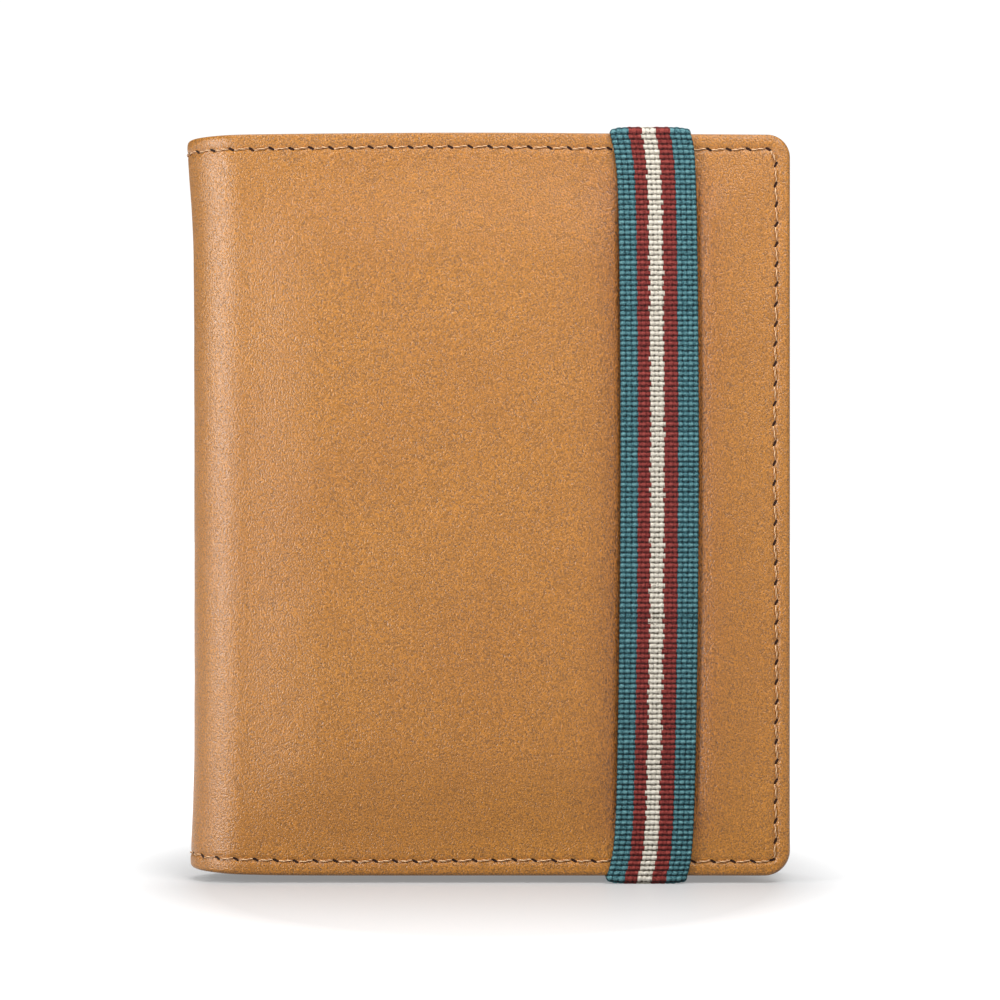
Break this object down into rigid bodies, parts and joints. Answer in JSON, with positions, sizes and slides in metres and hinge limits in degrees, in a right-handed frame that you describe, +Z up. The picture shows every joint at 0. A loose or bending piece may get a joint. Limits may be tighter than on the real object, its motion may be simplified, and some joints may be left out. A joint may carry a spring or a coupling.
{
  "type": "travel document organizer",
  "caption": "Bifold padded leather organizer with a soft round spine, an inner passport pocket, stacked card slots and a woven elastic band that closes it.",
  "frame": {"origin": "middle of the base of the closed organizer, at the lowest point of the elastic band's lower turn", "axes": "+X from the spine to the fore edge, +Y from the front cover to the back cover, +Z up"},
  "size_m": [0.117, 0.022, 0.1473],
  "materials": {
    "outer_leather": "smooth matte tan, fine grain",
    "pocket_leather": "smooth matte tan, thinner",
    "lining": "plain woven lining",
    "foam": "soft padding, hidden",
    "board": "stiffener board, hidden",
    "thread": "waxed sewing thread",
    "elastic": "ribbed woven elastic, striped along its length"
  },
  "bodies": {
    "back_cover": {"back_cover_leather": "outer_leather", "back_cover_foam_padding": "foam", "back_cover_stiffener_board": "board", "back_cover_lining": "lining", "back_cover_edge_seam": "thread", "passport_pocket_face": "pocket_leather", "passport_pocket_gusset": "pocket_leather", "passport_pocket_seam": "thread", "elastic_upper_sewn_end": "elastic", "elastic_lower_sewn_end": "elastic"},
    "spine_rear": {"spine_rear_leather": "outer_leather", "spine_rear_lining": "lining", "spine_rear_lower_seam": "thread", "spine_rear_upper_seam": "thread"},
    "spine_front": {"spine_front_leather": "outer_leather", "spine_front_lining": "lining", "spine_front_lower_seam": "thread", "spine_front_upper_seam": "thread"},
    "front_cover": {"front_cover_leather": "outer_leather", "front_cover_foam_padding": "foam", "front_cover_stiffener_board": "board", "front_cover_lining": "lining", "front_cover_edge_seam": "thread", "slip_pocket_face": "pocket_leather", "slip_pocket_seam": "thread", "card_slot_1": "pocket_leather", "card_slot_2": "pocket_leather", "card_slot_3": "pocket_leather", "card_slot_4": "pocket_leather"},
    "band_turns": {"elastic_upper_turn": "elastic", "elastic_lower_turn": "elastic"},
    "band_span": {"elastic_front_span": "elastic"}
  },
  "joints": [
    {"name": "cover_opening", "type": "hinge", "parent": "back_cover", "child": "spine_rear", "pos_m": [-0.05335, 0.00965, 0.07365], "axis": [0, 0, -1], "range_deg": [0, 60]},
    {"name": "spine_middle_fold", "type": "hinge", "parent": "spine_rear", "child": "spine_front", "pos_m": [-0.0585, 0.00072, 0.07365], "axis": [0, 0, -1], "range_deg": [0, 60]},
    {"name": "spine_front_fold", "type": "hinge", "parent": "spine_front", "child": "front_cover", "pos_m": [-0.05335, -0.00819, 0.07365], "axis": [0, 0, -1], "range_deg": [0, 60]},
    {"name": "band_release", "type": "hinge", "parent": "back_cover", "child": "band_turns", "pos_m": [0.032, 0.00887, 0.07365], "axis": [0, 0, 1], "range_deg": [0, 180], "deforming": ["elastic_upper_turn", "elastic_lower_turn"]},
    {"name": "band_tightening", "type": "slide", "parent": "band_turns", "child": "band_span", "axis": [0, 1, 0], "range_m": [0, 0.0163], "deforming": ["elastic_front_span"]}
  ],
  "couplings": [
    {"joint": "spine_middle_fold", "follows": "cover_opening", "ratio": 1},
    {"joint": "spine_front_fold", "follows": "cover_opening", "ratio": 1},
    {"joint": "band_release", "follows": "cover_opening", "ratio": 3},
    {"joint": "band_tightening", "follows": "cover_opening", "m_per_rad": 0.015565}
  ]
}
